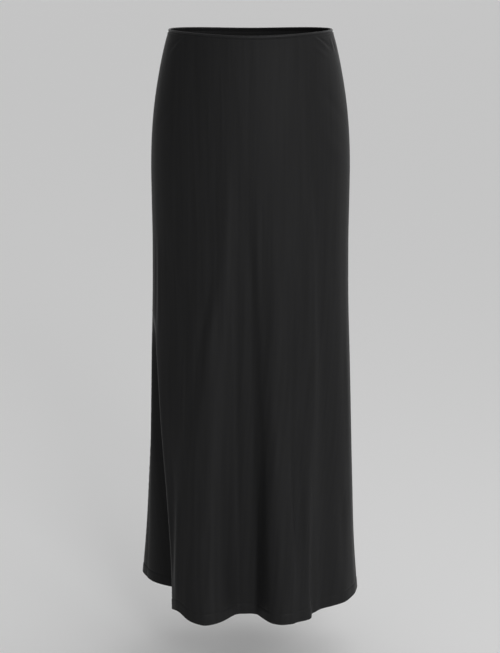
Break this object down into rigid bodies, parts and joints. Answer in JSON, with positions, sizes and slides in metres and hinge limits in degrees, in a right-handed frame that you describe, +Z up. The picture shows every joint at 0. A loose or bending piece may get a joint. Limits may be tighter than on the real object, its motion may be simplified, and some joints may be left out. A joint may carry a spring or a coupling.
{
  "type": "maxi skirt",
  "caption": "Worn maxi skirt in black satin, hollow and fitted at the hip, flaring into soft folds at the hem, with a concealed side zip.",
  "frame": {"origin": "middle of the waist, level with the middle of its back edge, where the wearer holds the skirt", "axes": "+Z up along the skirt, -Y to the front, +X to the picture's right, the side with the zip"},
  "size_m": [0.3591, 0.2921, 0.923],
  "materials": {
    "satin": "black crepe-backed satin with a soft sheen",
    "waist_edging": "stitched edge of the same satin, a little brighter on its turn",
    "zip_tape": "plain woven black tape",
    "zip_metal": "black enamelled metal"
  },
  "bodies": {
    "skirt": {"front_panel": "satin", "back_panel": "satin", "waist_edge_front": "waist_edging", "waist_edge_back": "waist_edging", "zip_tape_front": "zip_tape", "zip_tape_back": "zip_tape", "zip_slider": "zip_metal"},
    "pull": {"zip_pull": "zip_metal"}
  },
  "joints": [
    {"name": "pull_hinge", "type": "hinge", "parent": "skirt", "child": "pull", "pos_m": [0.12631, 0.0294, -0.011], "axis": [0.3524, -0.9359, 0], "range_deg": [0, 150]}
  ]
}
